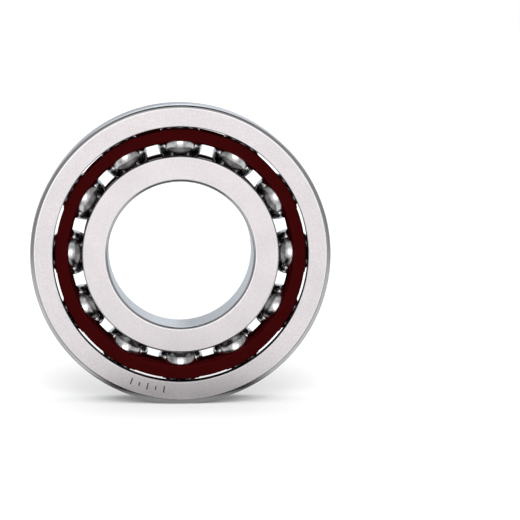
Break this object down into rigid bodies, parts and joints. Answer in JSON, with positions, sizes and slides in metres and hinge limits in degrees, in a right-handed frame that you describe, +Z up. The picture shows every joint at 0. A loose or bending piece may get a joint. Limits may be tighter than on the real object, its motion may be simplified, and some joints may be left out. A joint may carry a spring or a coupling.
{
  "type": "angular contact ball bearing",
  "caption": "Open single-row angular contact ball bearing with a dark red one-piece resin cage, for a 30 mm shaft in a 62 mm housing seat.",
  "frame": {"origin": "centre of the bearing, on its axis and on its middle plane", "axes": "+Y along the bearing axis, from the thrust face (at -Y, the face with the high outer shoulder) to the narrow face; +Z up, with the bearing standing on its rim; +X to the right when the thrust face is looked at"},
  "size_m": [0.062, 0.016, 0.062],
  "materials": {
    "outer_ring_steel": "ground bearing steel, satin side faces",
    "inner_ring_steel": "ground bearing steel, satin side faces",
    "ball_steel": "lapped, mirror bright",
    "cage_resin": "dark red phenolic resin, matt"
  },
  "bodies": {
    "outer_ring": {"outer_ring": "outer_ring_steel"},
    "inner_ring": {"inner_ring": "inner_ring_steel"},
    "cage": {"cage": "cage_resin"},
    "ball_01": {"ball_01": "ball_steel"},
    "ball_02": {"ball_02": "ball_steel"},
    "ball_03": {"ball_03": "ball_steel"},
    "ball_04": {"ball_04": "ball_steel"},
    "ball_05": {"ball_05": "ball_steel"},
    "ball_06": {"ball_06": "ball_steel"},
    "ball_07": {"ball_07": "ball_steel"},
    "ball_08": {"ball_08": "ball_steel"},
    "ball_09": {"ball_09": "ball_steel"},
    "ball_10": {"ball_10": "ball_steel"},
    "ball_11": {"ball_11": "ball_steel"},
    "ball_12": {"ball_12": "ball_steel"}
  },
  "joints": [
    {"name": "inner_ring_spin", "type": "hinge", "parent": "outer_ring", "child": "inner_ring", "pos_m": [0, 0, 0], "axis": [0, 1, 0], "continuous": true},
    {"name": "cage_spin", "type": "hinge", "parent": "outer_ring", "child": "cage", "pos_m": [0, 0, 0], "axis": [0, 1, 0], "continuous": true},
    {"name": "ball_01_spin", "type": "hinge", "parent": "cage", "child": "ball_01", "pos_m": [0, 0, 0.023], "axis": [0, 0.9659, 0.2588], "continuous": true},
    {"name": "ball_02_spin", "type": "hinge", "parent": "cage", "child": "ball_02", "pos_m": [0.0115, 0, 0.01992], "axis": [0.1294, 0.9659, 0.2241], "continuous": true},
    {"name": "ball_03_spin", "type": "hinge", "parent": "cage", "child": "ball_03", "pos_m": [0.01992, 0, 0.0115], "axis": [0.2241, 0.9659, 0.1294], "continuous": true},
    {"name": "ball_04_spin", "type": "hinge", "parent": "cage", "child": "ball_04", "pos_m": [0.023, 0, 0], "axis": [0.2588, 0.9659, 0], "continuous": true},
    {"name": "ball_05_spin", "type": "hinge", "parent": "cage", "child": "ball_05", "pos_m": [0.01992, 0, -0.0115], "axis": [0.2241, 0.9659, -0.1294], "continuous": true},
    {"name": "ball_06_spin", "type": "hinge", "parent": "cage", "child": "ball_06", "pos_m": [0.0115, 0, -0.01992], "axis": [0.1294, 0.9659, -0.2241], "continuous": true},
    {"name": "ball_07_spin", "type": "hinge", "parent": "cage", "child": "ball_07", "pos_m": [0, 0, -0.023], "axis": [0, 0.9659, -0.2588], "continuous": true},
    {"name": "ball_08_spin", "type": "hinge", "parent": "cage", "child": "ball_08", "pos_m": [-0.0115, 0, -0.01992], "axis": [-0.1294, 0.9659, -0.2241], "continuous": true},
    {"name": "ball_09_spin", "type": "hinge", "parent": "cage", "child": "ball_09", "pos_m": [-0.01992, 0, -0.0115], "axis": [-0.2241, 0.9659, -0.1294], "continuous": true},
    {"name": "ball_10_spin", "type": "hinge", "parent": "cage", "child": "ball_10", "pos_m": [-0.023, 0, 0], "axis": [-0.2588, 0.9659, 0], "continuous": true},
    {"name": "ball_11_spin", "type": "hinge", "parent": "cage", "child": "ball_11", "pos_m": [-0.01992, 0, 0.0115], "axis": [-0.2241, 0.9659, 0.1294], "continuous": true},
    {"name": "ball_12_spin", "type": "hinge", "parent": "cage", "child": "ball_12", "pos_m": [-0.0115, 0, 0.01992], "axis": [-0.1294, 0.9659, 0.2241], "continuous": true}
  ],
  "couplings": [
    {"joint": "cage_spin", "follows": "inner_ring_spin", "ratio": 0.39999},
    {"joint": "ball_01_spin", "follows": "inner_ring_spin", "ratio": -2.3181},
    {"joint": "ball_02_spin", "follows": "inner_ring_spin", "ratio": -2.3181},
    {"joint": "ball_03_spin", "follows": "inner_ring_spin", "ratio": -2.3181},
    {"joint": "ball_04_spin", "follows": "inner_ring_spin", "ratio": -2.3181},
    {"joint": "ball_05_spin", "follows": "inner_ring_spin", "ratio": -2.3181},
    {"joint": "ball_06_spin", "follows": "inner_ring_spin", "ratio": -2.3181},
    {"joint": "ball_07_spin", "follows": "inner_ring_spin", "ratio": -2.3181},
    {"joint": "ball_08_spin", "follows": "inner_ring_spin", "ratio": -2.3181},
    {"joint": "ball_09_spin", "follows": "inner_ring_spin", "ratio": -2.3181},
    {"joint": "ball_10_spin", "follows": "inner_ring_spin", "ratio": -2.3181},
    {"joint": "ball_11_spin", "follows": "inner_ring_spin", "ratio": -2.3181},
    {"joint": "ball_12_spin", "follows": "inner_ring_spin", "ratio": -2.3181}
  ]
}
